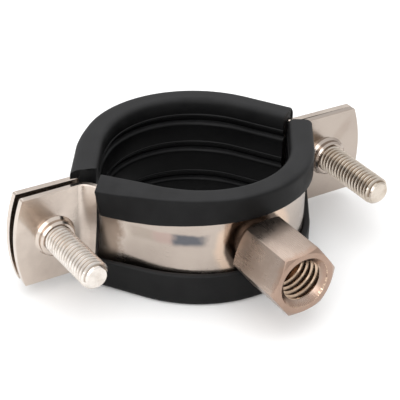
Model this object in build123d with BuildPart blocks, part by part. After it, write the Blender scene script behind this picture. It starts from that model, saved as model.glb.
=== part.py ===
from build123d import *
from math import atan, cos, degrees, radians, sin, sqrt, tan
import os

# Rubber lined pipe clamp: two half straps with rubber liners, drawn together by two
# screws that thread into collars drawn out of the front strap. A hexagon connecting nut
# is welded to the front strap and takes the hanger rod.
#
# Frame: the origin is the centre of the pipe bore at the middle of the band's width.
# +Z runs along the pipe, +X along the line of the two screws, and -Y points out of the nut.

# ---- pipe and band ----
bore_diameter = 38.0        # over the rubber lands
strap_width = 20.0
strap_thickness = 1.3
strap_edge_break = 0.2      # chamfer along the sheet's sheared edges
arc_half_angle = 57.0       # each half is round for this far to both sides of its crown
bend_radius = 3.0           # at the middle of the sheet, from the flank out to the ear

# ---- rubber liner section ----
liner_width = 24.5
web_thickness = 2.4         # rubber between pipe and strap
leg_thickness = 1.4         # rubber outside the strap
leg_opening = 10.4          # band of bare strap between the two legs
outer_rim_radius = 1.2
outer_rim_facets = 3        # the round rim is made of this many flats
bore_rim_chamfer = 0.4
leg_tip_chamfer = 0.4
groove_count = 3
groove_pitch = 6.8
groove_width = 1.9
groove_depth = 1.1
slot_clearance = 0.04       # all round the strap inside the liner's slot
front_liner_flank = 11.2    # straight part of the front liner past its arc, cut square
back_liner_flank = 11.1     # the same at the back liner's right end
back_liner_overhang = 0.5   # its left end reaches this far into the gap between the ears

# ---- ears and the joint between the halves ----
ear_end_margin = 8.6        # screw's axis to the middle of the ear's bowed end
ear_end_bow = 1.8           # how far that end bows past its corners
ear_corner_radius = 0.6
joint_offset = 0.9          # mating face of the front ears, behind the bore centre
joint_gap = 0.95            # between the ears, at the bore centre
joint_touch_gap = 0.1       # between the ears at the right end, where they meet first

# ---- screws, collars and washers ----
screw_spacing = 66.8
screw_diameter = 6.0
screw_length = 23.0         # under the head
screw_tip_chamfer = 0.9
head_across_flats = 10.0
head_height = 4.0
head_chamfer_depth = 0.7    # off the corners of the hexagon, on top
head_seat_chamfer_depth = 0.3
driver_slot_width = 1.6
driver_slot_depth = 1.8
thread_clearance = 0.05     # screw to collar, radial
collar_diameter = 7.8
collar_height = 1.7
collar_root_flare = 0.5     # chamfers, as are the next two
collar_lip_break = 0.4
collar_entry = 0.6
ear_slot_length = 8.6
ear_slot_width = 6.8
washer_diameter = 12.0
washer_bore = 6.4
washer_thickness = 1.2
washer_edge_break = 0.2
head_seat_gap = 0.12        # lets the square head clear the slightly skewed washer

# ---- connecting nut ----
nut_across_flats = 13.0
nut_length = 14.2
nut_turn = 7.0              # turn of the hexagon about its own axis
nut_chamfer_depth = 1.0     # off the corners of the hexagon, at both ends
nut_standoff = 0.9          # from the liner's legs to the back of the hexagon
spigot_diameter = 9.4
rod_thread_minor = 8.5      # coarse M10 thread, at the crests
rod_thread_mouth = 10.8     # countersink at the mouth
rod_thread_depth = 8.5
small_rod_thread_minor = 6.8  # coarse M8 thread behind it, at the crests
weld_depth = 0.1            # the spigot bites this far into the strap
weld_floor = 0.4            # weld metal that closes the bore in front of the strap

# ---- sizes that follow ----
strap_inner_radius = bore_diameter / 2 + web_thickness
strap_mid_radius = strap_inner_radius + strap_thickness / 2
strap_outer_radius = strap_inner_radius + strap_thickness
liner_outer_radius = strap_outer_radius + leg_thickness
flank_slope = radians(arc_half_angle)
screw_x = screw_spacing / 2
ear_tip_reach = screw_x + ear_end_margin
ear_corner_reach = ear_tip_reach - ear_end_bow
ear_front_face = joint_offset - strap_thickness
back_joint_offset = joint_offset + joint_gap
ear_back_face = back_joint_offset + strap_thickness
washer_seat = ear_back_face + washer_thickness
skew = degrees(atan((joint_gap - joint_touch_gap) / ear_tip_reach))
CHAMFER_SLOPE = tan(radians(30))

front_frame = Plane.XY
back_frame = Plane.XY.rotated((0, 0, -skew))    # the back half sits skewed by a degree
FRONT = -1
BACK = 1


def half_points(side, end_y):
    """Corners of a half's middle line, left to right: outer end, fold, arc ends, fold,
    outer end. At a fold the flank would meet the line y = end_y sharply."""
    arc_x = strap_mid_radius * sin(flank_slope)
    arc_y = side * strap_mid_radius * cos(flank_slope)
    fold_x = arc_x + abs(arc_y - end_y) / tan(flank_slope)
    end_x = ear_tip_reach + strap_thickness
    return [(-end_x, end_y), (-fold_x, end_y), (-arc_x, arc_y),
            (arc_x, arc_y), (fold_x, end_y), (end_x, end_y)]


def strap_line(frame, side, ear_y):
    """Middle line of a strap: ear, bend, flank, arc, flank, bend, ear."""
    left_end, left_fold, arc_start, arc_end, right_fold, right_end = half_points(side, ear_y)
    with BuildLine(frame) as line:
        FilletPolyline(left_end, left_fold, arc_start, radius=bend_radius)
        ThreePointArc(arc_start, (0, side * strap_mid_radius), arc_end)
        FilletPolyline(arc_end, right_fold, right_end, radius=bend_radius)
    return line.wire()


def liner_line(frame, side, left_flank, right_flank):
    """The strap's line as a liner follows it: an arc with a straight flank at each end."""
    arc_start = Vector(-strap_mid_radius * sin(flank_slope), side * strap_mid_radius * cos(flank_slope))
    arc_end = Vector(-arc_start.X, arc_start.Y)
    run = Vector(cos(flank_slope), -side * sin(flank_slope))
    with BuildLine(frame) as line:
        Line(arc_start + Vector(-run.X, run.Y) * left_flank, arc_start)
        ThreePointArc(arc_start, (0, side * strap_mid_radius), arc_end)
        Line(arc_end, arc_end + run * right_flank)
    return line.wire()


def section_plane(line, side):
    """Plane square to a line at its start. Its x points away from the bore, its y along Z."""
    along = line % 0
    outward = Vector(0, 0, side).cross(along)
    return Plane(origin=line @ 0, x_dir=outward, z_dir=along)


def sheet_section(line, side):
    """Section of the strap's sheet, its sheared edges broken."""
    with BuildSketch(section_plane(line, side)) as section:
        Rectangle(strap_thickness, strap_width)
        chamfer(section.vertices(), strap_edge_break)
    return section.sketch


def slot_section(line, side):
    """Section of a liner's slot, which takes the strap's sheet."""
    with BuildSketch(section_plane(line, side)) as section:
        Rectangle(strap_thickness + 2 * slot_clearance, strap_width + 2 * slot_clearance)
    return section.sketch


def liner_section(line, side):
    """Section of a liner: rounded outer rims, a grooved bore face and two legs that stand
    outside the strap. Its slot for the sheet is cut afterwards."""
    bore_face = -(strap_thickness / 2 + web_thickness)
    leg_root = strap_thickness / 2
    leg_face = leg_root + leg_thickness
    half_width = liner_width / 2
    rim_turns = [radians(90 * i / outer_rim_facets) for i in range(outer_rim_facets + 1)]
    rim = [(leg_face - outer_rim_radius * (1 - cos(turn)),
            half_width - outer_rim_radius * (1 - sin(turn))) for turn in rim_turns]
    with BuildSketch() as flat:
        with BuildLine():
            Polyline((leg_root, 0), (leg_root, leg_opening / 2), (leg_face, leg_opening / 2),
                     *rim, (bore_face, half_width), (bore_face, 0))
            mirror(about=Plane.XZ)
        make_face()
        tips = flat.vertices().filter_by_position(Axis.Y, -leg_opening / 2, leg_opening / 2)
        chamfer(tips.group_by(Axis.X)[-1], leg_tip_chamfer)
        chamfer(flat.vertices().group_by(Axis.X)[0], bore_rim_chamfer)
        with Locations((bore_face, 0)):
            with GridLocations(0, groove_pitch, 1, groove_count):
                Rectangle(2 * groove_depth, groove_width, mode=Mode.SUBTRACT)
    return section_plane(line, side) * flat.sketch


def ear_outline(frame):
    """Outline of the band seen along Y: straight edges, and ends that bow outwards."""
    half_width = strap_width / 2
    with BuildSketch(Plane(frame.origin, frame.x_dir, -frame.y_dir)) as outline:
        with BuildLine():
            bottom = Line((-ear_corner_reach, -half_width), (ear_corner_reach, -half_width))
            right = ThreePointArc(bottom @ 1, (ear_tip_reach, 0), (ear_corner_reach, half_width))
            top = Line(right @ 1, (-ear_corner_reach, half_width))
            ThreePointArc(top @ 1, (-ear_tip_reach, 0), bottom @ 0)
        make_face()
        fillet(outline.vertices(), ear_corner_radius)
    return outline.sketch


def hexagon_envelope(x, start_y, end_y, across_flats, start_chamfer, end_chamfer):
    """Half profile that takes the corners off a hexagon's ends, turned about its axis at x."""
    corner = across_flats / sqrt(3)
    step = 1 if end_y > start_y else -1
    with BuildSketch(Plane((x, 0, 0))) as profile:
        with BuildLine():
            Polyline((0, start_y), (corner - start_chamfer, start_y),
                     (corner, start_y + step * start_chamfer * CHAMFER_SLOPE),
                     (corner, end_y - step * end_chamfer * CHAMFER_SLOPE),
                     (corner - end_chamfer, end_y), (0, end_y), close=True)
        make_face()
    return profile.sketch


# ---- front strap: its ears carry the threaded collars ----
front_line = strap_line(front_frame, FRONT, joint_offset - strap_thickness / 2)
collar_plane = Plane((0, ear_front_face, 0), (1, 0, 0), (0, -1, 0))
collar_bore = screw_diameter / 2 + thread_clearance

with BuildPart() as front_strap:
    sweep(sheet_section(front_line, FRONT), path=front_line)
    extrude(ear_outline(front_frame), amount=liner_outer_radius, both=True, mode=Mode.INTERSECT)
    with BuildSketch(collar_plane) as collars:
        with Locations((-screw_x, 0), (screw_x, 0)):
            Circle(collar_diameter / 2)
    extrude(amount=collar_height)
    rings = front_strap.edges().filter_by(GeomType.CIRCLE).filter_by(
        lambda edge: abs(edge.radius - collar_diameter / 2) < 0.001)
    chamfer(rings.group_by(Axis.Y)[0], collar_lip_break)
    rings = front_strap.edges().filter_by(GeomType.CIRCLE).filter_by(
        lambda edge: abs(edge.radius - collar_diameter / 2) < 0.001)
    chamfer(rings.group_by(Axis.Y)[-1], collar_root_flare)
    with BuildSketch(collar_plane.offset(collar_height)) as bores:
        with Locations((-screw_x, 0), (screw_x, 0)):
            Circle(collar_bore)
    extrude(amount=-(collar_height + strap_thickness), mode=Mode.SUBTRACT)
    mouths = front_strap.edges().filter_by(GeomType.CIRCLE).filter_by(
        lambda edge: abs(edge.radius - collar_bore) < 0.001)
    chamfer(mouths.group_by(Axis.Y)[-1], collar_entry)
front_strap.part.label = "front_strap"

# ---- back strap: elongated holes let the screws find the collars ----
back_line = strap_line(back_frame, BACK, back_joint_offset + strap_thickness / 2)
back_ear_plane = Plane(back_frame.from_local_coords(Vector(0, ear_back_face, 0)),
                       back_frame.x_dir, -back_frame.y_dir)

with BuildPart() as back_strap:
    sweep(sheet_section(back_line, BACK), path=back_line)
    extrude(ear_outline(back_frame), amount=liner_outer_radius, both=True, mode=Mode.INTERSECT)
    with BuildSketch(back_ear_plane) as slots:
        with Locations((-screw_x, 0), (screw_x, 0)):
            SlotOverall(ear_slot_length, ear_slot_width)
    extrude(amount=strap_thickness, mode=Mode.SUBTRACT)
back_strap.part.label = "back_strap"

# ---- liners: pushed over the edges of each strap ----
front_liner_line = liner_line(front_frame, FRONT, front_liner_flank, front_liner_flank)
with BuildPart() as front_liner:
    sweep(liner_section(front_liner_line, FRONT), path=front_liner_line)
    sweep(slot_section(front_line, FRONT), path=front_line, mode=Mode.SUBTRACT)
front_liner.part.label = "front_liner"

back_liner_end = back_joint_offset - back_liner_overhang
longest_flank = liner_outer_radius / sin(flank_slope)
back_liner_line = liner_line(back_frame, BACK, longest_flank, back_liner_flank)
with BuildPart() as back_liner:
    sweep(liner_section(back_liner_line, BACK), path=back_liner_line)
    sweep(slot_section(back_line, BACK), path=back_line, mode=Mode.SUBTRACT)
    end_plane = Plane(back_frame.from_local_coords(Vector(0, back_liner_end, 0)),
                      back_frame.x_dir, back_frame.y_dir)
    split(bisect_by=end_plane, keep=Keep.TOP)
back_liner.part.label = "back_liner"

# ---- connecting nut ----
nut_back = -(liner_outer_radius + nut_standoff)
nut_face = nut_back - nut_length
bore_floor = -(strap_outer_radius + weld_floor)
with BuildPart() as boss_nut:
    with BuildSketch(Plane((0, nut_back, 0), (1, 0, 0), (0, -1, 0))) as hexagon:
        RegularPolygon(nut_across_flats / 2, 6, major_radius=False, rotation=nut_turn)
    extrude(amount=nut_length)
    envelope = hexagon_envelope(0, nut_back, nut_face, nut_across_flats,
                                nut_chamfer_depth, nut_chamfer_depth)
    revolve(envelope, axis=Axis.Y, mode=Mode.INTERSECT)
    with BuildSketch(Plane((0, nut_back, 0), (1, 0, 0), (0, 1, 0))) as spigot:
        Circle(spigot_diameter / 2)
    extrude(amount=-nut_back)
    with BuildSketch(Plane.XY.offset(-strap_width / 2)) as strap_face:
        Circle(strap_outer_radius - weld_depth)
    extrude(amount=strap_width, mode=Mode.SUBTRACT)
    with BuildSketch(Plane((0, nut_face, 0), (1, 0, 0), (0, 1, 0))) as rod_bore:
        Circle(rod_thread_minor / 2)
    extrude(amount=rod_thread_depth, mode=Mode.SUBTRACT)
    with BuildSketch(Plane((0, nut_face, 0), (1, 0, 0), (0, 1, 0))) as small_rod_bore:
        Circle(small_rod_thread_minor / 2)
    extrude(amount=bore_floor - nut_face, mode=Mode.SUBTRACT)
    mouth = boss_nut.edges().filter_by(GeomType.CIRCLE).group_by(Axis.Y)[0].sort_by(SortBy.RADIUS)[0]
    chamfer(mouth, (rod_thread_mouth - rod_thread_minor) / 2)
boss_nut.part.label = "boss_nut"

solids = [front_strap, back_strap, front_liner, back_liner, boss_nut]

# ---- screws and washers, one set at each ear ----
for name, x in (("left", -screw_x), ("right", screw_x)):
    washer_plane = Plane(back_frame.from_local_coords(Vector(x, ear_back_face, 0)),
                         back_frame.x_dir, back_frame.y_dir)
    with BuildPart() as washer:
        with BuildSketch(washer_plane):
            Circle(washer_diameter / 2)
            Circle(washer_bore / 2, mode=Mode.SUBTRACT)
        extrude(amount=washer_thickness)
        rims = washer.edges().filter_by(GeomType.CIRCLE).sort_by(SortBy.RADIUS)[-2:]
        chamfer(rims, washer_edge_break)
    washer.part.label = name + "_washer"

    head_seat = (washer_seat - x * sin(radians(skew))) / cos(radians(skew)) + head_seat_gap
    head_top = head_seat + head_height
    with BuildPart() as screw:
        with BuildSketch(Plane((x, head_seat, 0), (1, 0, 0), (0, 1, 0))):
            RegularPolygon(head_across_flats / 2, 6, major_radius=False)
        extrude(amount=head_height)
        envelope = hexagon_envelope(x, head_seat, head_top, head_across_flats,
                                    head_seat_chamfer_depth, head_chamfer_depth)
        revolve(envelope, axis=Axis((x, 0, 0), (0, 1, 0)), mode=Mode.INTERSECT)
        with BuildSketch(Plane((x, head_top, 0), (1, 0, 0), (0, 1, 0))):
            Rectangle(2 * head_across_flats, driver_slot_width)
        extrude(amount=-driver_slot_depth, mode=Mode.SUBTRACT)
        with BuildSketch(Plane((x, head_seat, 0), (1, 0, 0), (0, -1, 0))):
            Circle(screw_diameter / 2)
        extrude(amount=screw_length)
        tip_edge = screw.edges().filter_by(GeomType.CIRCLE).group_by(Axis.Y)[0]
        chamfer(tip_edge, screw_tip_chamfer)
    screw.part.label = name + "_screw"
    solids += [washer, screw]

os.makedirs("parts", exist_ok=True)
for solid in solids:
    export_step(solid.part, "parts/" + solid.part.label + ".step")
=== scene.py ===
import math

import bmesh
import bpy
from mathutils import Matrix, Vector


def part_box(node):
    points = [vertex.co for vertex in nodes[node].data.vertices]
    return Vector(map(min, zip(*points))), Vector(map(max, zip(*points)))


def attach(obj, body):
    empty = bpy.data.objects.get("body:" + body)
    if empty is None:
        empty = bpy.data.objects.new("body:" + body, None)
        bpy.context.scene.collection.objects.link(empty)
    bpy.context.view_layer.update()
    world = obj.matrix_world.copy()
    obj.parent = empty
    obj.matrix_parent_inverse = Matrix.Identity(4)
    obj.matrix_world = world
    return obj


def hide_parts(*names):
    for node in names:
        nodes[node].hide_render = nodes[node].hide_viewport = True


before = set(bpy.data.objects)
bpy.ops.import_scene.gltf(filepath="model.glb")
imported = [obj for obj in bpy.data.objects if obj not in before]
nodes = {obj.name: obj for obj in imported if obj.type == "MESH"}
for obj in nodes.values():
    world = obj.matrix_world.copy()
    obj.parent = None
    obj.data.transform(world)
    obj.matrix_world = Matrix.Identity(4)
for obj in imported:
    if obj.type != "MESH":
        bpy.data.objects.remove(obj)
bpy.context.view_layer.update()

# Rubber lined pipe clamp. Lengths are in millimetres unless a comment says otherwise, and
# MM turns them to metres.
MM = 0.001

# The band, by the middle line of each strap. The back half is turned a little about the pipe
STRAP_RADIUS = 22.05
STRAP_HALF_THICKNESS = 0.65
STRAP_HALF_WIDTH = 10.0
FLANK_SLOPE = math.radians(57.0)
BACK_SKEW = math.radians(1.159)

# Places along a strap's middle line, from the middle of its arc: where the arc turns into the
# flank, and where each liner ends
ARC_LENGTH = STRAP_RADIUS * FLANK_SLOPE
FRONT_END = ARC_LENGTH + 11.2
BACK_END = ARC_LENGTH + 11.1


# ---- mesh helpers ----
def add_object(name, bm, material, smooth_angle=35.0):
    """Puts a finished bmesh in the scene, smooth but for edges sharper than the angle."""
    mesh = bpy.data.meshes.new(name)
    bm.to_mesh(mesh)
    bm.free()
    for face in mesh.polygons:
        face.use_smooth = True
    mesh.set_sharp_from_angle(angle=math.radians(smooth_angle))
    mesh.materials.append(material)
    made = bpy.data.objects.new(name, mesh)
    bpy.context.scene.collection.objects.link(made)
    return made


DOUBLED = 2e-7          # metres, as are the next two
FLAT_EDGE = 1e-7
CAD_DOUBLED = 1e-6
COPLANAR = math.radians(1.0)


def close_up(bm):
    """Merges doubled vertices, drops faces of no area and turns the normals outwards."""
    bmesh.ops.remove_doubles(bm, verts=bm.verts, dist=DOUBLED)
    bmesh.ops.dissolve_degenerate(bm, edges=bm.edges, dist=FLAT_EDGE)
    bmesh.ops.recalc_face_normals(bm, faces=bm.faces)


def cad_copy(name, keep):
    """A bmesh of those faces of a CAD node that keep(corners) is true for. Its corners are in
    millimetres."""
    bm = bmesh.new()
    bm.from_mesh(nodes[name].data)
    bmesh.ops.remove_doubles(bm, verts=bm.verts, dist=CAD_DOUBLED)
    dropped = [f for f in bm.faces if not keep([v.co / MM for v in f.verts])]
    bmesh.ops.delete(bm, geom=dropped, context="FACES")
    bmesh.ops.dissolve_limit(bm, angle_limit=COPLANAR, verts=bm.verts, edges=bm.edges)
    return bm


BEVEL_SMOOTH_ANGLE = math.radians(40)


def bevelled(obj, width, angle):
    """Breaks an object's edges sharper than angle, in degrees, and keeps the result."""
    modifier = obj.modifiers.new("bevel", "BEVEL")
    modifier.width = width * MM
    modifier.segments = 2
    modifier.limit_method = "ANGLE"
    modifier.angle_limit = math.radians(angle)
    graph = bpy.context.evaluated_depsgraph_get()
    mesh = bpy.data.meshes.new_from_object(obj.evaluated_get(graph))
    obj.modifiers.clear()
    obj.data = mesh
    mesh.set_sharp_from_angle(angle=BEVEL_SMOOTH_ANGLE)


# ---- threads ----
SEGMENTS = 72
# ISO thread form: place along one pitch, and 1 at the crest or 0 at the root
THREAD_FORM = ((0.0, 1.0), (0.125, 1.0), (0.4375, 0.0), (0.6875, 0.0))
PER_TURN = len(THREAD_FORM)
THREAD_SMOOTH_ANGLE = 28.0
SPOTS_PER_METRE = 1e8    # corners that round to one spot count as one corner


def thread_rings(bm, centre_x, start, end, pitch, radius_at, start_angle=0.0):
    """Adds a right hand helical thread surface round a line along Y at centre_x, from start
    to end. radius_at(form, y) gives the radius, and has one value at each end. Returns the
    two end rings, as lists of vertices."""
    turns = math.ceil((end - start) / pitch) + 3
    rows = []
    for turn in range(-2, turns):
        for place, form in THREAD_FORM:
            row = []
            for i in range(SEGMENTS):
                share = i / SEGMENTS
                y = start + (turn + place + share) * pitch
                y = min(max(y, start), end)
                r = radius_at(form, y)
                angle = math.tau * share + start_angle
                row.append(bm.verts.new((
                    (centre_x + r * math.sin(angle)) * MM, y * MM, r * math.cos(angle) * MM)))
            rows.append(row)
    for a in range(len(rows) - 1 - PER_TURN):
        for i in range(SEGMENTS):
            if i + 1 < SEGMENTS:
                next_a, next_b = rows[a][i + 1], rows[a + 1][i + 1]
            else:
                next_a, next_b = rows[a + PER_TURN][0], rows[a + PER_TURN + 1][0]
            corners = (rows[a][i], next_a, next_b, rows[a + 1][i])
            spots = {tuple(round(c * SPOTS_PER_METRE) for c in v.co) for v in corners}
            if len(spots) > 2:
                bm.faces.new(corners)
    return rows[0], rows[-1]


def bridge(bm, ring_a, ring_b):
    """Joins two rings of a thread with faces."""
    for i in range(SEGMENTS):
        j = (i + 1) % SEGMENTS
        bm.faces.new((ring_a[i], ring_a[j], ring_b[j], ring_b[i]))


def mark_grooves(mesh, centre_x, crest, root, plain_end, plain_value):
    """Writes how deep each vertex lies in the thread, from 0 at the crest to 1 at the root, and
    plain_value up to y = plain_end, which has no thread."""
    groove = mesh.attributes.new("groove", "FLOAT", "POINT")
    for vertex, value in zip(mesh.vertices, groove.data):
        radius = math.hypot(vertex.co.x / MM - centre_x, vertex.co.z / MM)
        depth = min(max((radius - crest) / (root - crest), 0.0), 1.0)
        value.value = plain_value if vertex.co.y / MM < plain_end else depth


# ---- material helpers ----
class Nodes:
    """A node tree, with short calls for the nodes that the finishes and the room share."""

    def __init__(self, tree):
        self.tree = tree

    def add(self, kind, inputs=None, **settings):
        made = self.tree.nodes.new(kind)
        for key, value in settings.items():
            setattr(made, key, value)
        for key, value in (inputs or {}).items():
            self.put(made.inputs[key], value)
        return made

    def put(self, socket, value):
        if isinstance(value, bpy.types.NodeSocket):
            self.tree.links.new(value, socket)
        else:
            socket.default_value = value

    def math(self, operation, a, b):
        return self.add("ShaderNodeMath", {0: a, 1: b}, operation=operation).outputs[0]

    def plus(self, a, b):
        return self.math("ADD", a, b)

    def times(self, a, b):
        return self.math("MULTIPLY", a, b)

    def minus(self, a, b):
        return self.math("SUBTRACT", a, b)

    def vector(self, operation, a, b):
        made = self.add("ShaderNodeVectorMath", {0: a, 1: b}, operation=operation)
        return made.outputs["Vector"]

    def length(self, a):
        return self.add("ShaderNodeVectorMath", {0: a}, operation="LENGTH").outputs["Value"]

    def split(self, a):
        """The X, Y and Z of a vector."""
        return self.add("ShaderNodeSeparateXYZ", {"Vector": a}).outputs

    def attribute(self, name):
        return self.add("ShaderNodeAttribute", attribute_name=name).outputs["Fac"]


class Shader(Nodes):
    """A material, with the textures that the finishes share."""

    def __init__(self, name):
        self.material = bpy.data.materials.new(name)
        self.material.use_nodes = True
        super().__init__(self.material.node_tree)
        self.bsdf = self.tree.nodes["Principled BSDF"]
        self.place = self.add("ShaderNodeTexCoord").outputs["Object"]

    def noise(self, scale=1.0, stretch=(1, 1, 1), detail=4.0, rough=0.55):
        """Noise with scale features per millimetre, times stretch along each axis."""
        stretched = self.add("ShaderNodeMapping", {
            "Vector": self.place, "Scale": tuple(factor / MM for factor in stretch)})
        return self.add("ShaderNodeTexNoise", {
            "Vector": stretched.outputs["Vector"], "Scale": scale, "Detail": detail,
            "Roughness": rough}).outputs["Fac"]

    def band(self, value, low, high, to_low=0.0, to_high=1.0):
        """Value from low to high, mapped smoothly to to_low to to_high."""
        return self.add("ShaderNodeMapRange", {
            "Value": value, "From Min": low, "From Max": high,
            "To Min": to_low, "To Max": to_high}, interpolation_type="SMOOTHSTEP").outputs["Result"]

    def window(self, value, start, full, fade, end):
        """1 from full to fade, falling smoothly to 0 at start and end."""
        return self.times(self.band(value, start, full), self.band(value, fade, end, 1.0, 0.0))

    def mix(self, share, a, b):
        return self.add("ShaderNodeMix", {"Factor": share, "A": a, "B": b},
                        data_type="RGBA").outputs["Result"]

    def spot(self, centre, radii, turn=0.0):
        """1 at a place in millimetres, fading to 0 at radii from it, with an uneven edge. turn
        slants it about Y, in degrees."""
        offset = self.vector("SUBTRACT", self.place, Vector(centre) * MM)
        slanted = self.add("ShaderNodeMapping", {
            "Vector": offset, "Rotation": (0.0, math.radians(turn), 0.0)}).outputs["Vector"]
        distance = self.length(self.vector("MULTIPLY", slanted, tuple(1 / (r * MM) for r in radii)))
        uneven = self.times(self.noise(0.3, detail=4.0), SPOT_WOBBLE)
        return self.band(self.plus(distance, uneven), SPOT_CORE + SPOT_WOBBLE / 2,
                         1.0 + SPOT_WOBBLE / 2, 1.0, 0.0)

    def bump(self, height, strength, distance, normal=None):
        made = self.add("ShaderNodeBump", {
            "Height": height, "Strength": strength, "Distance": distance * MM})
        if normal is not None:
            self.put(made.inputs["Normal"], normal)
        return made.outputs["Normal"]

    def finish(self, **values):
        for key, value in values.items():
            self.put(self.bsdf.inputs[key.replace("_", " ")], value)
        return self.material


SPOT_CORE = 0.35        # share of a spot's radii that is at full strength
SPOT_WOBBLE = 0.5


def colour(r, g, b):
    return (r, g, b, 1.0)


def darkened(tone, factors):
    return colour(*(value * factor for value, factor in zip(tone, factors)))


# Shares of a steel's darker tone that are left in its specks, its lines and its thread roots
SPECK_TONE = (0.55, 0.5, 0.45)
LINE_TONE = (0.8, 0.78, 0.75)
ROOT_TONE = (0.45, 0.38, 0.32)
SPECK_SHARE = 0.35
LINE_SHARE = 0.25
SCUFF_ROUGHNESS = 0.24
SHEET_GRAIN_DEPTH = 0.002
ROOT_ROUGHNESS = 0.12


def steel(name, light, dark, roughness, grain, grain_depth=SHEET_GRAIN_DEPTH, marks=None,
          scuffs=()):
    """Satin steel. grain is the stretch of its fine draw lines, in lines per millimetre, marks
    paints rubbed and worn places, rings, painted reflections and painted shade over its tone, and
    scuffs are dull places, as centre and radii."""
    s = Shader(name)
    lines = s.noise(1.0, grain, detail=3.0)
    clouds = s.noise(0.16, detail=5.0)
    specks = s.noise(2.6, detail=6.0, rough=0.7)
    tone = s.mix(s.band(clouds, 0.35, 0.7), light, dark)
    tone = s.mix(s.times(s.band(specks, 0.58, 0.72), SPECK_SHARE), tone, darkened(dark, SPECK_TONE))
    tone = s.mix(s.times(s.band(lines, 0.52, 0.75), LINE_SHARE), tone, darkened(dark, LINE_TONE))
    if marks:
        tone = marks(s, tone)
    rough = s.plus(s.band(clouds, 0.3, 0.75, roughness - 0.05, roughness + 0.06),
                   s.band(lines, 0.3, 0.7, -0.03, 0.05))
    for centre, radii in scuffs:
        rough = s.plus(rough, s.times(s.spot(centre, radii), SCUFF_ROUGHNESS))
    normal = s.bump(lines, 0.35, grain_depth)
    normal = s.bump(specks, 0.25, grain_depth * 1.5, normal)
    return s.finish(Base_Color=tone, Metallic=1.0, Roughness=rough, Normal=normal)


def threaded_steel(name, light, dark, roughness, root_share):
    """Steel whose thread roots are browner and duller, by the mesh's own groove attribute."""
    s = Shader(name)
    groove = s.attribute("groove")
    clouds = s.noise(0.5, detail=5.0)
    lines = s.noise(1.0, (7, 0.4, 7), detail=3.0)
    tone = s.mix(s.band(clouds, 0.35, 0.7), light, dark)
    tone = s.mix(s.band(groove, 0.25, 1.0, 0.0, root_share), tone, darkened(dark, ROOT_TONE))
    rough = s.plus(s.band(clouds, 0.3, 0.75, roughness - 0.04, roughness + 0.05),
                   s.times(groove, ROOT_ROUGHNESS))
    normal = s.bump(lines, 0.3, SHEET_GRAIN_DEPTH)
    return s.finish(Base_Color=tone, Metallic=1.0, Roughness=rough, Normal=normal)


RUBBER_DARK, RUBBER_LIGHT = colour(0.0055, 0.0055, 0.0057), colour(0.0088, 0.0088, 0.009)
# Painted shade inside the ring, for the bore
RUBBER_BORE_SHADE = colour(0.0015, 0.0015, 0.0017)
# Dust with a painted sheen on what faces up, and dust specks
DUST_AND_SHEEN, DUST_SPECK = colour(0.027, 0.027, 0.028), colour(0.07, 0.068, 0.066)
DUST_SPECK_SHARE = 0.22
BORE_SMOOTHER = 0.14
RUBBER_GRAIN_DEPTH = 0.02


def rubber(name):
    """Matte black rubber: fine grain, faint extrusion lines, and dust with a painted sheen on what
    faces up. Its bore, by the mesh's own attribute, is cleaner, smoother and painted blacker, for
    the shade inside the ring."""
    s = Shader(name)
    bore = s.attribute("bore")
    grain = s.noise(9.0, detail=6.0, rough=0.65)
    lines = s.noise(1.0, (0.08, 0.08, 5.0), detail=3.0)
    clouds = s.noise(0.22, detail=5.0)
    up = s.split(s.add("ShaderNodeNewGeometry").outputs["Normal"])["Z"]
    # Dust and painted sheen: lighter on what faces up, as if lit from above
    dust_and_sheen = s.times(s.band(up, 0.35, 1.0), s.band(clouds, 0.2, 0.8, 0.4, 0.8))
    specks = s.times(s.band(s.noise(1.9, detail=7.0, rough=0.72), 0.62, 0.76),
                     s.times(s.minus(1.0, bore), DUST_SPECK_SHARE))
    tone = s.mix(s.band(clouds, 0.3, 0.7), RUBBER_DARK, RUBBER_LIGHT)
    # Painted shade: the bore is painted blacker, for the shade inside the ring
    tone = s.mix(bore, tone, RUBBER_BORE_SHADE)
    tone = s.mix(dust_and_sheen, tone, DUST_AND_SHEEN)
    tone = s.mix(specks, tone, DUST_SPECK)
    rough = s.plus(s.band(clouds, 0.3, 0.7, 0.46, 0.56), s.band(grain, 0.35, 0.65, -0.04, 0.06))
    rough = s.minus(rough, s.times(bore, BORE_SMOOTHER))
    normal = s.bump(lines, 0.2, RUBBER_GRAIN_DEPTH)
    normal = s.bump(grain, 0.3, RUBBER_GRAIN_DEPTH, normal)
    return s.finish(Base_Color=tone, Roughness=rough, Normal=normal, Specular_IOR_Level=0.12)


# ---- finishes ----
# Colours of the marks: GREY, ROSE and SLATE are painted reflections, and BROWN is painted shade and
# painted reflection
BROWN = colour(0.24, 0.175, 0.13)
ROOT_DARK = colour(0.05, 0.037, 0.03)
COPPER = colour(0.66, 0.50, 0.385)
COPPER_BROWN = colour(0.33, 0.20, 0.14)
WORN = colour(0.55, 0.47, 0.41)
GREY = colour(0.33, 0.28, 0.235)
ROSE = colour(0.39, 0.285, 0.255)
SLATE = colour(0.10, 0.105, 0.12)

# Dull places on the front strap's two bends, as centre and radii
BEND_SCUFFS = tuple(((x, -1.5, 0.0), (6.5, 8.0, 16.0)) for x in (-24.5, 24.5))

# Painted shade: all of the front strap but its left ear and bend is darkened
BAND_SHADE = colour(0.37, 0.315, 0.275)
BAND_SHADE_SHARE = 0.72
BAND_START, BAND_FULL = -23.5 * MM, -20.5 * MM

# Painted reflections of the nut and its shadow on the floor, in a streak. Its edges are at start,
# full,
# fade and end: once by height, and for each tint by place along the band, with the tint and its
# strength
STREAK_HEIGHTS = (0.4, 1.8, 3.1, 3.9)
STREAK_REFLECTIONS = (((-28.0, -25.0, -22.5, -20.0), GREY, 0.6),
                ((-22.5, -20.5, -17.8, -16.3), ROSE, 0.7),
                ((-18.6, -16.2, -12.8, -9.4), SLATE, 0.95))

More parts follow.
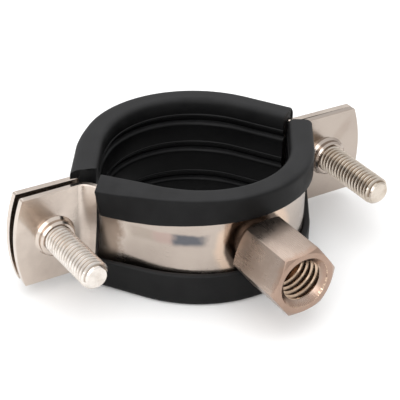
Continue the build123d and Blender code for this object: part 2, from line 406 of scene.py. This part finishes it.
# Painted shade across the whole band by its left bend, for the dark reflection of the left screw
# where the bend starts, with the same four edges
BEND_SHADE = (-33.5, -31.5, -29.5, -27.5)
BEND_SHADE_SHARE = 0.8

# How far noise moves the edges of the marks: along the band, up it, and round the nut's root
ALONG_WOBBLE, HEIGHT_WOBBLE, ROOT_WOBBLE = 4.0, 0.7, 1.2

# Rings round the nut's root, a copper ring and a darker ring right at the root: full and end
# radius, and strength
COPPER_RING = (8.0, 9.6, 0.75)
ROOT_DARK_RING = (6.5, 7.3, 0.92)

# Painted reflections of the screws in the ears, beside the collars: centre and radii, slant in
# degrees, left and right strength
COLLAR_X, COLLAR_Y, COLLAR_Z = 36.7, -0.4, 4.6
COLLAR_RADII = (5.4, 6.0, 1.9)
COLLAR_SLANT = 49.7
COLLAR_REFLECTION_SHARES = ((-1, 0.36), (1, 0.2))


def front_marks(s, tone):
    """Painted reflections of the nut and its shadow in a streak along the front strap's bare band,
    painted shade over all but the left ear and bend, a copper ring and a darker ring round the
    nut's root, painted shade by the left bend, and painted reflections of the screws beside their
    collars."""
    x, y, z = s.split(s.place)
    uneven = s.minus(s.noise(0.4, detail=2.0), 0.5)
    turn = s.math("ARCTAN2", x, s.times(y, -1.0))
    outer_radius = STRAP_RADIUS + STRAP_HALF_THICKNESS
    along = s.plus(s.times(turn, outer_radius), s.times(uneven, ALONG_WOBBLE))
    height = s.plus(s.times(z, 1 / MM), s.times(uneven, HEIGHT_WOBBLE))
    streak = s.window(height, *STREAK_HEIGHTS)
    # Painted shade over all of the strap but its left ear and bend
    tone = s.mix(s.band(x, BAND_START, BAND_FULL, 0.0, BAND_SHADE_SHARE), tone, BAND_SHADE)
    # Painted reflections of the nut and its shadow on the floor, in a streak along the band
    for places, tint, strength in STREAK_REFLECTIONS:
        share = s.times(s.times(s.window(along, *places), streak), strength)
        tone = s.mix(share, tone, tint)
    # Painted shade by the left bend
    tone = s.mix(s.times(s.window(along, *BEND_SHADE), BEND_SHADE_SHARE), tone, BROWN)
    across = s.vector("MULTIPLY", s.place, (1 / MM, 0.0, 1 / MM))
    radius = s.plus(s.length(across), s.times(uneven, ROOT_WOBBLE))
    # A copper ring, and a darker ring right at the nut's root
    for (full, end, strength), tint in ((COPPER_RING, COPPER), (ROOT_DARK_RING, ROOT_DARK)):
        tone = s.mix(s.band(radius, full, end, strength, 0.0), tone, tint)
    # Painted reflections of the screws in the ears, beside their collars
    for side, strength in COLLAR_REFLECTION_SHARES:
        centre = (side * COLLAR_X, COLLAR_Y, COLLAR_Z)
        screw_reflection = s.spot(centre, COLLAR_RADII, turn=side * COLLAR_SLANT)
        tone = s.mix(s.times(screw_reflection, strength), tone, BROWN)
    return tone


NUT_MOUTH = -39.2
RUBBED_DEPTH = 2.0
RUBBED_WOBBLE = 3.0
RUBBED_SHARE = 0.55
WORN_SHARE = 0.4


def nut_marks(s, tone):
    """Copper and brown showing through where the nut's mouth is rubbed, and light worn specks."""
    uneven = s.times(s.minus(s.noise(0.7, detail=5.0), 0.5), RUBBED_WOBBLE * MM)
    y = s.plus(s.split(s.place)["Y"], uneven)
    rubbed = s.band(y, NUT_MOUTH * MM, (NUT_MOUTH + RUBBED_DEPTH) * MM, RUBBED_SHARE, 0.0)
    tone = s.mix(rubbed, tone, COPPER_BROWN)
    specks = s.noise(1.3, detail=6.0, rough=0.7)
    return s.mix(s.band(specks, 0.62, 0.74, 0.0, WORN_SHARE), tone, WORN)


SHEET_LIGHT, SHEET_DARK = colour(0.64, 0.56, 0.495), colour(0.54, 0.465, 0.41)
SHEET_GRAIN = (0.35, 0.35, 11.0)
EVEN_GRAIN = (3.0, 3.0, 3.0)
TURNED_GRAIN = (9.0, 0.4, 9.0)
TURNED_GRAIN_DEPTH = 0.0012

strap_steel = steel("strap_steel", SHEET_LIGHT, SHEET_DARK, 0.19, SHEET_GRAIN,
                    marks=front_marks, scuffs=BEND_SCUFFS)
back_steel = steel("back_steel", SHEET_LIGHT, SHEET_DARK, 0.2, SHEET_GRAIN)
washer_steel = steel("washer_steel", colour(0.60, 0.57, 0.54), colour(0.50, 0.47, 0.44),
                     0.34, EVEN_GRAIN)
nut_steel = steel("nut_steel", colour(0.41, 0.33, 0.28), colour(0.34, 0.268, 0.225),
                  0.29, TURNED_GRAIN, TURNED_GRAIN_DEPTH, marks=nut_marks)
head_steel = steel("head_steel", colour(0.58, 0.55, 0.51), colour(0.49, 0.45, 0.41),
                   0.30, EVEN_GRAIN)
screw_steel = threaded_steel("screw_steel", colour(0.77, 0.725, 0.68), colour(0.65, 0.595, 0.54),
                             0.23, 0.8)
# Painted shade: a darker, browner copy of the screw steel, for the right screw
shaded_screw_steel = threaded_steel("shaded_screw_steel", colour(0.62, 0.555, 0.485), colour(0.50, 0.43, 0.355),
                             0.25, 0.9)
tapped_steel = threaded_steel("tapped_steel", colour(0.63, 0.475, 0.355),
                              colour(0.45, 0.325, 0.235), 0.15, 0.96)
liner_rubber = rubber("liner_rubber")


# ---- straps and washers: the CAD nodes themselves ----
def dress(name, material):
    """Gives a CAD node its finish, in every material slot that it has."""
    slots = nodes[name].data.materials
    if len(slots) == 0:
        slots.append(material)
    for i in range(len(slots)):
        slots[i] = material


for node_name, finish in (("front_strap", strap_steel), ("back_strap", back_steel),
                          ("left_washer", washer_steel), ("right_washer", washer_steel)):
    dress(node_name, finish)

# ---- liners: a rounded section swept along each strap ----
# In the section, u runs outwards from the strap's middle line and v along the pipe
SLOT_CLEARANCE = 0.04
SLOT_U = STRAP_HALF_THICKNESS + SLOT_CLEARANCE
SLOT_V = STRAP_HALF_WIDTH + SLOT_CLEARANCE
SLOT_MIDDLE_V = 5.0
BORE_U = -3.05
LEG_U = 2.05
LINER_HALF_WIDTH = 12.25
LEG_TIP_V = 5.2
LEG_TIP_INNER_ROUND = 0.35
LEG_TIP_OUTER_ROUND = 0.5
LEG_FACE_START = 1.8        # straight part of the leg's face, from its tip
LEG_FACE_END = 0.5          # and to where the crease starts
CREASE_STEPS = 6
RIM_FACE_SHARES = (0.35, 0.7)
RIM_ROUND = 1.3
GROOVES_V = (7.4, 0.8, -6.5)
GROOVE_HALF_WIDTH = 0.75
GROOVE_DEPTH = 1.15
LOWER_LIP_ROUND = 0.85
UPPER_LIP_ROUND = 0.3
UPPER_LIP_RISE = 0.16
STATIONS = 96
BORE_MARK_U = -1.0          # what lies further in is marked as bore, but for the rims
LINER_SMOOTH_ANGLE = 40.0

# Rim, crease, roundness of the crease and leg tip of a plain half of the section
PLAIN_SECTION = (LINER_HALF_WIDTH, LINER_HALF_WIDTH, RIM_ROUND, LEG_TIP_V)


def arc_points(centre_u, centre_v, radius, start, end, count=5):
    """Points on an arc in the section, angles in degrees from +u towards +v."""
    turns = [math.radians(start + (end - start) * i / count) for i in range(count + 1)]
    return [(centre_u + radius * math.cos(t), centre_v + radius * math.sin(t)) for t in turns]


def groove_points(v):
    """A groove in the bore face at v, from below upwards: a broad round lip on the land below
    it, and a narrow raised lip on the land above."""
    low, high = v - GROOVE_HALF_WIDTH, v + GROOVE_HALF_WIDTH
    floor_u = BORE_U + GROOVE_DEPTH
    lower = arc_points(BORE_U + LOWER_LIP_ROUND, low - LOWER_LIP_ROUND, LOWER_LIP_ROUND, 180, 90)
    upper = arc_points(BORE_U - UPPER_LIP_RISE + UPPER_LIP_ROUND, high + UPPER_LIP_ROUND,
                       UPPER_LIP_ROUND, 270, 110)
    floor = [(floor_u, low), (floor_u, high)]
    return lower + floor + upper + [(BORE_U, high + 3 * UPPER_LIP_ROUND)]


def half_section(rim_v, crease_v, crease_round, tip_v):
    """Half of the section, from the slot round the leg and over the rim to the bore face. Its
    second point comes twice, which the triangles of the end caps depend on, and liner()
    merges it once they are made."""
    half = [(SLOT_U, SLOT_V), (SLOT_U, tip_v + LEG_TIP_INNER_ROUND)]
    half += arc_points(SLOT_U + LEG_TIP_INNER_ROUND, tip_v + LEG_TIP_INNER_ROUND,
                       LEG_TIP_INNER_ROUND, 180, 270, 3)
    half += arc_points(LEG_U - LEG_TIP_OUTER_ROUND, tip_v + LEG_TIP_OUTER_ROUND,
                       LEG_TIP_OUTER_ROUND, 270, 360, 4)
    half += [(LEG_U, tip_v + LEG_FACE_START), (LEG_U, crease_v - crease_round - LEG_FACE_END)]
    top_u = BORE_U + RIM_ROUND
    rise = (rim_v - crease_v) / (LEG_U - top_u)
    for i in range(CREASE_STEPS + 1):
        t = i / CREASE_STEPS
        half.append((LEG_U - crease_round * t * t,
                     crease_v - crease_round * (1 - t) ** 2 + rise * crease_round * t * t))
    for share in RIM_FACE_SHARES:
        u = (LEG_U - crease_round) * (1 - share) + top_u * share
        half.append((u, crease_v + rise * (LEG_U - u)))
    return half + arc_points(top_u, rim_v - RIM_ROUND, RIM_ROUND, 90, 180, 6)


def liner_section(rim_v, crease_v, crease_round, tip_v):
    """The liner's section, as a closed loop of (u, v). The four sizes are the upper half's."""
    upper = half_section(rim_v, crease_v, crease_round, tip_v)
    lower = [(u, -v) for u, v in reversed(half_section(*PLAIN_SECTION))]
    bore = [point for v in GROOVES_V for point in reversed(groove_points(v))]
    slot = [(-SLOT_U, v) for v in (-SLOT_V, -SLOT_MIDDLE_V, SLOT_MIDDLE_V, SLOT_V)]
    return upper + bore + lower + slot


def read_off(table, s):
    """The value at s in a table of (s, value), straight between its rows."""
    for (s_a, value_a), (s_b, value_b) in zip(table, table[1:]):
        if s <= s_b:
            share = max(0.0, (s - s_a) / (s_b - s_a))
            return value_a * (1 - share) + value_b * share
    return table[-1][1]


def band_place(side, skew, s, u, v):
    """Place in metres at s along the strap's middle line, u out of it and v along the pipe.
    side is -1 for the front half and 1 for the back, and skew turns the half about the
    pipe's axis."""
    turn = max(-FLANK_SLOPE, min(FLANK_SLOPE, s / STRAP_RADIUS))
    run = s - math.copysign(min(abs(s), ARC_LENGTH), s)
    x = (STRAP_RADIUS + u) * math.sin(turn) + run * math.cos(turn)
    y = (STRAP_RADIUS + u) * side * math.cos(turn) - side * abs(run) * math.sin(abs(turn))
    return Vector((x * math.cos(skew) + y * math.sin(skew),
                   y * math.cos(skew) - x * math.sin(skew), v)) * MM


def liner(name, side, skew, section_at, left_end, right_end, flare):
    """A liner for one half. section_at(s) gives its section, left_end and right_end give s at
    the cut ends for (u, v), and flare(s, u, v) how far the rubber stands off the strap."""
    bm = bmesh.new()
    bore = bm.verts.layers.float.new("bore")
    rows = []
    for station in range(STATIONS + 1):
        share = station / STATIONS
        row = []
        for u, v in section_at((2 * share - 1) * FRONT_END):
            s = left_end(u, v) * (1 - share) + right_end(u, v) * share
            vertex = bm.verts.new(band_place(side, skew, s, u + flare(s, u, v), v))
            vertex[bore] = float(u < BORE_MARK_U and abs(v) < LINER_HALF_WIDTH - RIM_ROUND)
            row.append(vertex)
        rows.append(row)
    count = len(rows[0])
    for a, b in zip(rows, rows[1:]):
        for i in range(count):
            j = (i + 1) % count
            bm.faces.new((a[i], a[j], b[j], b[i]))
    caps = [bm.faces.new(rows[0]), bm.faces.new(rows[-1])]
    bmesh.ops.triangulate(bm, faces=caps)
    close_up(bm)
    made = add_object(name, bm, liner_rubber, LINER_SMOOTH_ANGLE)
    return made


def leg_share(u):
    """0 at the strap's outer face and inwards of it, 1 at the outer face of the legs."""
    return min(max((u - STRAP_HALF_THICKNESS) / (LEG_U - STRAP_HALF_THICKNESS), 0.0), 1.0)


# The front liner sits askew on its strap: its rim droops to a crisp crease at the left end.
# Each table holds (s, value), for the upper half of the section
RIM_LINE = ((-34.0, 11.35), (-24.0, 12.0), (-17.0, 12.25))
CREASE_LINE = ((-33.0, 9.8), (-28.5, 10.25), (-24.0, 11.0), (-20.0, 11.6), (-16.0, 12.05),
               (-11.0, 12.25))
CREASE_ROUND = ((-33.0, 0.25), (-16.0, 0.4), (0.0, 0.9), (12.0, 1.3))
TIP_LINE = ((-33.0, 4.4), (-27.0, 4.7), (-22.0, 5.3), (-17.5, 5.95), (-13.5, 6.35), (-9.0, 6.6),
            (-5.0, 6.7), (8.0, 6.7), (20.0, 6.2), (33.0, 5.6))

# Its left end is cut on a slant, and its legs are cut back towards their tips
LEFT_OVERHANG = 0.8
LEFT_CUT_SLOPE = 0.18
LEFT_SLANT = 0.30
SLANT_START_V = 9.6

# Its right end curves back at the rims
FRONT_CORNER_V = 10.0
FRONT_CORNER_CURVE = 0.12

# Its lower leg has sprung off the strap at the left, over the last LEG_LIFT_RUN
LEG_LIFT = 1.5
LEG_LIFT_RUN = 20.0
LEG_LIFT_POWER = 1.4


def front_section(s):
    lines = (RIM_LINE, CREASE_LINE, CREASE_ROUND, TIP_LINE)
    return liner_section(*(read_off(line, s) for line in lines))


def front_left_end(u, v):
    slant = LEFT_SLANT * max(0.0, SLANT_START_V - abs(v)) * leg_share(u)
    return -FRONT_END - LEFT_OVERHANG + LEFT_CUT_SLOPE * (u - BORE_U) + slant


def front_right_end(u, v):
    past_corner = max(0.0, abs(v) - FRONT_CORNER_V)
    return FRONT_END - FRONT_CORNER_CURVE * past_corner ** 2 * leg_share(u)


def front_flare(s, u, v):
    """How far the lower leg has sprung off the strap near its left end, hinged at the rim."""
    if v > 0 or u < 0:
        return 0.0
    near_end = max(0.0, -s - (FRONT_END - LEG_LIFT_RUN)) / LEG_LIFT_RUN
    from_rim = (LINER_HALF_WIDTH + v) / (LINER_HALF_WIDTH - LEG_TIP_V)
    return LEG_LIFT * near_end ** LEG_LIFT_POWER * from_rim


# The back liner bulges off the left flank of its strap, from BULGE_START over BULGE_RUN
BULGE_START = 17.0
BULGE_RUN = 8.0
LEG_BULGE = 0.75
BORE_BULGE = 0.4

# Its left end is cut ragged. The y of the cut: over the ears, where it falls with the distance
# from the strap's edge and faster towards the bore, in the leg, and in the web inside the strap
OVER_EAR_Y = 1.95
OVER_EAR_FALL = 0.38
OVER_EAR_SLANT = 0.13
LEG_CUT_Y = 3.3
WEB_CUT_Y = 1.7
# Waves of the ragged cut: height, radians per millimetre along u and along v, and phase
RAGGED_WAVES = ((0.16, 2.1, 0.0, 0.6), (0.14, 4.7, 1.3, 0.0), (0.1, 0.0, 1.7, 0.0))

# Its right end curves back at the rims
BACK_CORNER_V = 10.4
BACK_CORNER_CURVE = 0.2


def back_section(s):
    """The same section all along."""
    return liner_section(*PLAIN_SECTION)


def back_flare(s, u, v):
    near_end = min(max((-s - BULGE_START) / BULGE_RUN, 0.0), 1.0)
    bulge = near_end * near_end * (3 - 2 * near_end)
    if u > SLOT_U:
        return LEG_BULGE * bulge * (u - SLOT_U) / (LEG_U - SLOT_U)
    if u < -SLOT_U:
        return BORE_BULGE * bulge * (u + SLOT_U) / (BORE_U + SLOT_U)
    return 0.0


def back_left_end(u, v):
    """The rim hangs over the ears, and the leg stops behind the back one."""
    over_ear = abs(v) - STRAP_HALF_WIDTH
    if over_ear > 2 * SLOT_CLEARANCE:
        end_y = OVER_EAR_Y - over_ear * (OVER_EAR_FALL + OVER_EAR_SLANT * (LEG_U - u))
    elif u > 0:
        end_y = LEG_CUT_Y
    else:
        end_y = WEB_CUT_Y
    ragged = sum(height * math.sin(along_u * u + along_v * v + phase)
                 for height, along_u, along_v, phase in RAGGED_WAVES)
    run = ((STRAP_RADIUS + u) * math.cos(FLANK_SLOPE) - end_y) / math.sin(FLANK_SLOPE)
    return -(ARC_LENGTH + run) + ragged


def back_right_end(u, v):
    past_corner = max(0.0, abs(v) - BACK_CORNER_V)
    return BACK_END - BACK_CORNER_CURVE * past_corner ** 2 * leg_share(u)


front = liner("front_rubber", -1, 0.0, front_section, front_left_end, front_right_end, front_flare)
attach(front, "front_half")
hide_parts("front_liner")
rear = liner("back_rubber", 1, BACK_SKEW, back_section, back_left_end, back_right_end, back_flare)
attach(rear, "back_half")
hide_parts("back_liner")

# ---- screws: the head is the CAD node's, and the shank gets a real thread ----
SCREW_CREST = 3.0
SCREW_ROOT = 2.42
SCREW_PITCH = 1.0
SCREW_TIP_LENGTH = 0.9
SCREW_HEAD_HEIGHT = 4.0
PLAIN_SHANK = 4.0           # under the head, without thread
THREAD_RUN_OUT = 1.2        # how steeply the roots rise to the plain shank
PLAIN_TIP = 0.4             # end of the screw that is kept as bright as the crests
HEAD_BREAK, HEAD_BREAK_ANGLE = 0.12, 25.0
TOUCH = 0.01                # how near to a plane a corner counts as on it


def clamp_screw(side, thread_finish):
    """One screw, as a head and a thread that ride on the screw's body."""
    node_name = side + "_screw"
    low, high = (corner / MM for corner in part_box(node_name))
    centre_x = (low.x + high.x) / 2
    tip = low.y
    seat = high.y - SCREW_HEAD_HEIGHT

    def in_head(corners):
        return min(c.y for c in corners) > seat - TOUCH

    def screw_radius(form, y):
        r = SCREW_ROOT + (SCREW_CREST - SCREW_ROOT) * form
        r = min(r, SCREW_CREST - SCREW_TIP_LENGTH + (y - tip))
        shank = SCREW_CREST - max(0.0, seat - PLAIN_SHANK - y) * THREAD_RUN_OUT
        return max(r, min(shank, SCREW_CREST))

    head = add_object(side + "_screw_head", cad_copy(node_name, in_head), head_steel)
    bevelled(head, HEAD_BREAK, HEAD_BREAK_ANGLE)

    bm = bmesh.new()
    tip_ring, _ = thread_rings(bm, centre_x, tip, seat, SCREW_PITCH, screw_radius)
    bm.faces.new(tip_ring)
    close_up(bm)
    thread = add_object(side + "_screw_thread", bm, thread_finish, THREAD_SMOOTH_ANGLE)
    mark_grooves(thread.data, centre_x, SCREW_CREST, SCREW_ROOT, tip + PLAIN_TIP, 0.0)
    for piece in (head, thread):
        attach(piece, side + "_screw")
    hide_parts(node_name)


clamp_screw("left", screw_steel)
clamp_screw("right", shaded_screw_steel)

# ---- connecting nut: outside from the CAD node, with threads cut in its bore ----
ROD_CREST = 4.25
ROD_ROOT = 5.0
ROD_PITCH = 1.5
ROD_MOUTH = 5.4
ROD_DEPTH = 8.5
SMALL_ROD_CREST = 3.4
SMALL_ROD_ROOT = 4.0
SMALL_ROD_PITCH = 1.25
WELD_FLOOR = 0.4
RELIEF_LENGTH, RELIEF_SLOPE = 0.5, 1.5      # plain groove at the inner end of each thread
ROD_START_ANGLE = math.radians(200)
RADIUS_MATCH = 0.05         # how near to a radius a corner counts as on it
PLAIN_MOUTH = 0.7           # depth of the countersink, which has no thread
PLAIN_MOUTH_TONE = 0.3      # its groove mark, as a share of the thread's depth
NUT_BREAK, NUT_BREAK_ANGLE = 0.14, 22.0

mouth = (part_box("boss_nut")[0] / MM).y
rod_end = mouth + ROD_DEPTH
bore_end = -(STRAP_RADIUS + STRAP_HALF_THICKNESS + WELD_FLOOR)


def outside_of_nut(corners):
    """True for a face that isn't part of the bore or its countersink."""
    for c in corners:
        r = math.hypot(c.x, c.z)
        in_bore = r < ROD_CREST + RADIUS_MATCH
        at_mouth = abs(r - ROD_MOUTH) < RADIUS_MATCH and c.y < mouth + TOUCH
        if not (in_bore or at_mouth):
            return True
    return False


def relieved(r, root, end, y):
    """The radius r, opened to the root before a thread's inner end."""
    return max(r, root - max(0.0, end - RELIEF_LENGTH - y) * RELIEF_SLOPE)


def rod_radius(form, y):
    r = ROD_ROOT + (ROD_CREST - ROD_ROOT) * form
    return relieved(max(r, ROD_MOUTH - (y - mouth)), ROD_ROOT, rod_end, y)


def small_rod_radius(form, y):
    r = SMALL_ROD_ROOT + (SMALL_ROD_CREST - SMALL_ROD_ROOT) * form
    return relieved(max(r, SMALL_ROD_ROOT - (y - rod_end)), SMALL_ROD_ROOT, bore_end, y)


shell = add_object("connecting_nut", cad_copy("boss_nut", outside_of_nut), nut_steel)
bevelled(shell, NUT_BREAK, NUT_BREAK_ANGLE)

bore_bm = bmesh.new()
_, rod_ring = thread_rings(
    bore_bm, 0.0, mouth, rod_end, ROD_PITCH, rod_radius, ROD_START_ANGLE)
step_ring, end_ring = thread_rings(
    bore_bm, 0.0, rod_end, bore_end, SMALL_ROD_PITCH, small_rod_radius, ROD_START_ANGLE)
bridge(bore_bm, rod_ring, step_ring)
bore_bm.faces.new(end_ring)
close_up(bore_bm)
bmesh.ops.reverse_faces(bore_bm, faces=bore_bm.faces)
threads = add_object("connecting_nut_threads", bore_bm, tapped_steel, THREAD_SMOOTH_ANGLE)
mark_grooves(threads.data, 0.0, ROD_CREST, ROD_ROOT, mouth + PLAIN_MOUTH, PLAIN_MOUTH_TONE)
for piece in (shell, threads):
    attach(piece, "front_half")
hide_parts("boss_nut")

# ---- floor: white paper under the lower rims ----
FLOOR_HALF = 2.0            # metres
FLOOR_Z = -LINER_HALF_WIDTH * MM

floor_finish = Shader("floor_paper")
paper = floor_finish.noise(0.05, detail=3.0)
floor_finish.finish(
    Base_Color=floor_finish.mix(paper, colour(0.93, 0.93, 0.93), colour(0.96, 0.96, 0.96)),
    Roughness=floor_finish.band(paper, 0.3, 0.7, 0.85, 0.95))

floor_bm = bmesh.new()
floor_bm.faces.new([floor_bm.verts.new((x * FLOOR_HALF, y * FLOOR_HALF, FLOOR_Z))
                    for x, y in ((-1, -1), (1, -1), (1, 1), (-1, 1))])
add_object("floor", floor_bm, floor_finish.material)

# ---- light: a white room, brighter towards its ceiling, and two soft boxes ----
# The room gives light by the height that a ray leaves at, and is seen as plain white
LOW_Z, HIGH_Z = -0.05, 0.9
LOW_GLOW, HIGH_GLOW = 0.80, 1.05
SEEN_GLOW = 1.0

world = bpy.data.worlds.new("studio")
bpy.context.scene.world = world
world.use_nodes = True
room = Nodes(world.node_tree)
ray_z = room.split(room.add("ShaderNodeTexCoord").outputs["Generated"])["Z"]
glow = room.add("ShaderNodeMapRange", {
    "Value": ray_z, "From Min": LOW_Z, "From Max": HIGH_Z,
    "To Min": LOW_GLOW, "To Max": HIGH_GLOW}).outputs["Result"]
is_seen = room.add("ShaderNodeLightPath").outputs["Is Camera Ray"]
strength = room.add("ShaderNodeMix", {"Factor": is_seen, "A": glow, "B": SEEN_GLOW},
                    data_type="FLOAT").outputs["Result"]
background = room.tree.nodes["Background"]
room.put(background.inputs["Strength"], strength)
room.put(background.inputs["Color"], colour(1.0, 1.0, 1.0))


def soft_box(name, place, aim, size, power):
    """A square area light at place, in metres, facing aim."""
    data = bpy.data.lights.new(name, "AREA")
    data.shape = "SQUARE"
    data.size = size
    data.energy = power
    light = bpy.data.objects.new(name, data)
    light.location = place
    light.rotation_mode = "QUATERNION"
    light.rotation_quaternion = (Vector(aim) - Vector(place)).to_track_quat("-Z", "Y")
    bpy.context.scene.collection.objects.link(light)


soft_box("overhead", (-0.06, 0.08, 0.45), (0.0, 0.0, 0.0), 0.70, 1.2)
soft_box("left_fill", (-0.34, -0.34, 0.26), (-0.03, -0.02, 0.0), 0.40, 1.3)

# ---- camera: from front left, above ----
AZIMUTH = math.radians(-32.86)
ELEVATION = math.radians(30.74)
ROLL = math.radians(1.66)
DISTANCE = 317.93 * MM
AIM = Vector((2.24, 2.0, -3.49)) * MM
SENSOR = 36.0
IMAGE_WIDTH = 400           # pixels, as is the next one
FOCAL_LENGTH = 1495.28
CLIP_START, CLIP_END = 0.01, 20.0       # metres

back = Vector((math.sin(AZIMUTH) * math.cos(ELEVATION),
               -math.cos(AZIMUTH) * math.cos(ELEVATION), math.sin(ELEVATION)))
level = Vector((math.cos(AZIMUTH), math.sin(AZIMUTH), 0.0))
upright = back.cross(level)
right = math.cos(ROLL) * level + math.sin(ROLL) * upright
up = back.cross(right)
place = AIM + back * DISTANCE

camera_data = bpy.data.cameras.new("camera")
camera_data.sensor_width = SENSOR
camera_data.lens = FOCAL_LENGTH / IMAGE_WIDTH * SENSOR
camera_data.clip_start = CLIP_START
camera_data.clip_end = CLIP_END
camera = bpy.data.objects.new("camera", camera_data)
camera.matrix_world = Matrix((
    (right.x, up.x, back.x, place.x),
    (right.y, up.y, back.y, place.y),
    (right.z, up.z, back.z, place.z),
    (0.0, 0.0, 0.0, 1.0)))
scene = bpy.context.scene
scene.collection.objects.link(camera)
scene.camera = camera
scene.view_settings.view_transform = "Standard"
scene.view_settings.look = "None"

bpy.context.view_layer.update()
